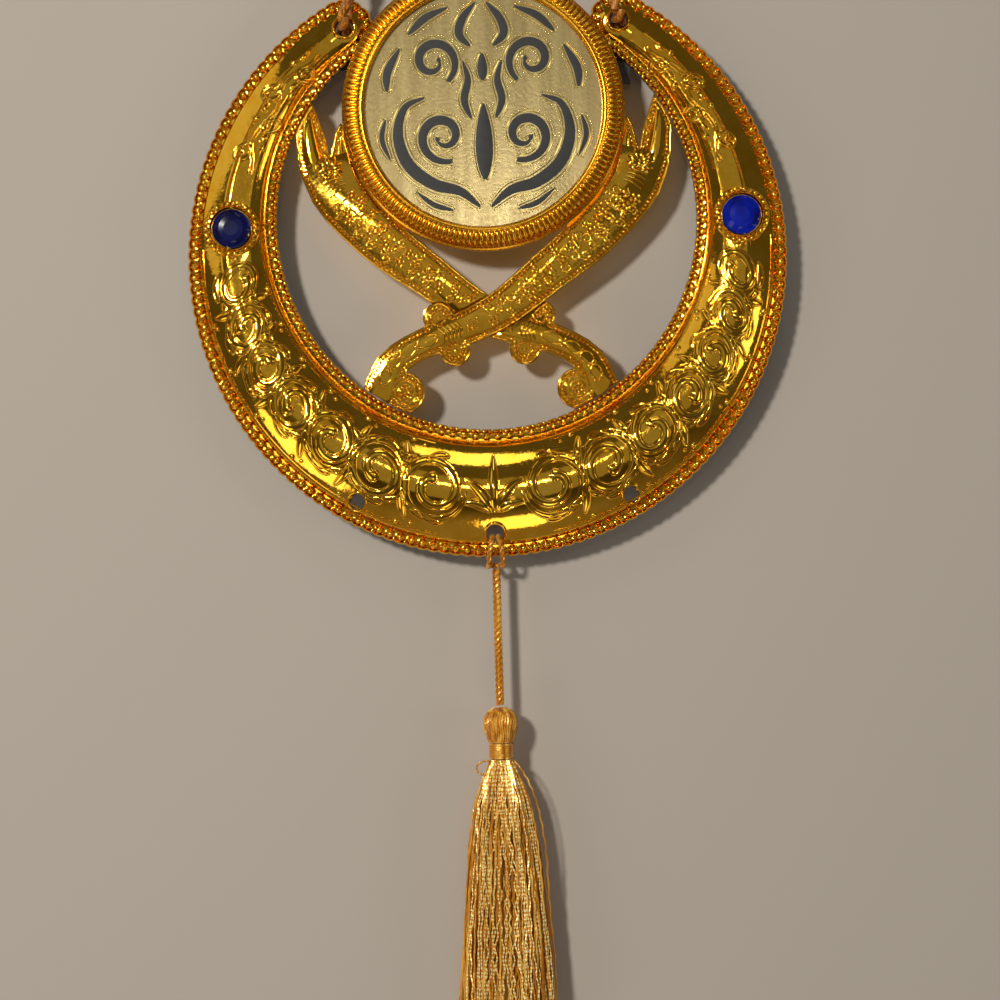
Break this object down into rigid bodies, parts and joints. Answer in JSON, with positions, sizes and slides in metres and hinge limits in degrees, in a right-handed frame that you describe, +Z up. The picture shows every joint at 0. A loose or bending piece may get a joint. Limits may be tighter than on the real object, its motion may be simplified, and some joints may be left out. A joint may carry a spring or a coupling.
{
  "type": "hanging door ornament",
  "caption": "Flat gold crescent with beaded rims, crossed swords, a round ribbed medallion and blue stones, hung on a looped cord, with a long tassel below.",
  "frame": {"origin": "under the top of the hanging cord's arch, where the hook carries it", "axes": "+X to the viewer's right, +Y away from the viewer into the door, +Z up"},
  "size_m": [0.18, 0.0196, 0.4266],
  "materials": {
    "gold_plate": "gold electroplated plastic, mirror gloss",
    "gold_foil": "pale gold foil print, satin mirror",
    "black_plastic": "satin",
    "blue_stone": "faceted acrylic, polished",
    "cord_satin": "twisted satin cord",
    "tassel_satin": "shiny rayon yarn"
  },
  "bodies": {
    "cord": {"hanging_cord": "cord_satin"},
    "pendant": {"crescent_front": "gold_plate", "crescent_back": "black_plastic", "stone_left": "blue_stone", "stone_right": "blue_stone", "sword_rear": "gold_plate", "sword_front": "gold_plate", "medallion_bezel": "gold_plate", "medallion_disc": "gold_foil", "medallion_back": "black_plastic", "rear_bridge": "black_plastic", "cord_end_left": "cord_satin", "cord_end_right": "cord_satin"},
    "loop": {"tassel_loop": "tassel_satin"},
    "tassel_cord": {"tassel_cord": "tassel_satin"},
    "tassel": {"tassel_head": "tassel_satin", "tassel_neck": "tassel_satin", "tassel_skirt": "tassel_satin"}
  },
  "joints": [
    {"name": "crescent_tilt", "type": "hinge", "parent": "cord", "child": "pendant", "pos_m": [0, 0, -0.1158], "axis": [-1, 0, 0], "range_deg": [0, 60]},
    {"name": "loop_sway", "type": "hinge", "parent": "pendant", "child": "loop", "pos_m": [0, 0.0058, -0.26872], "axis": [0, 1, 0], "range_deg": [-20, 20]},
    {"name": "cord_swing", "type": "hinge", "parent": "loop", "child": "tassel_cord", "pos_m": [0, 0.0049, -0.27852], "axis": [1, 0, 0], "range_deg": [-45, 45]},
    {"name": "tassel_sway", "type": "hinge", "parent": "tassel_cord", "child": "tassel", "pos_m": [0, 0.0049, -0.31922], "axis": [0, 1, 0], "range_deg": [-30, 30]}
  ]
}
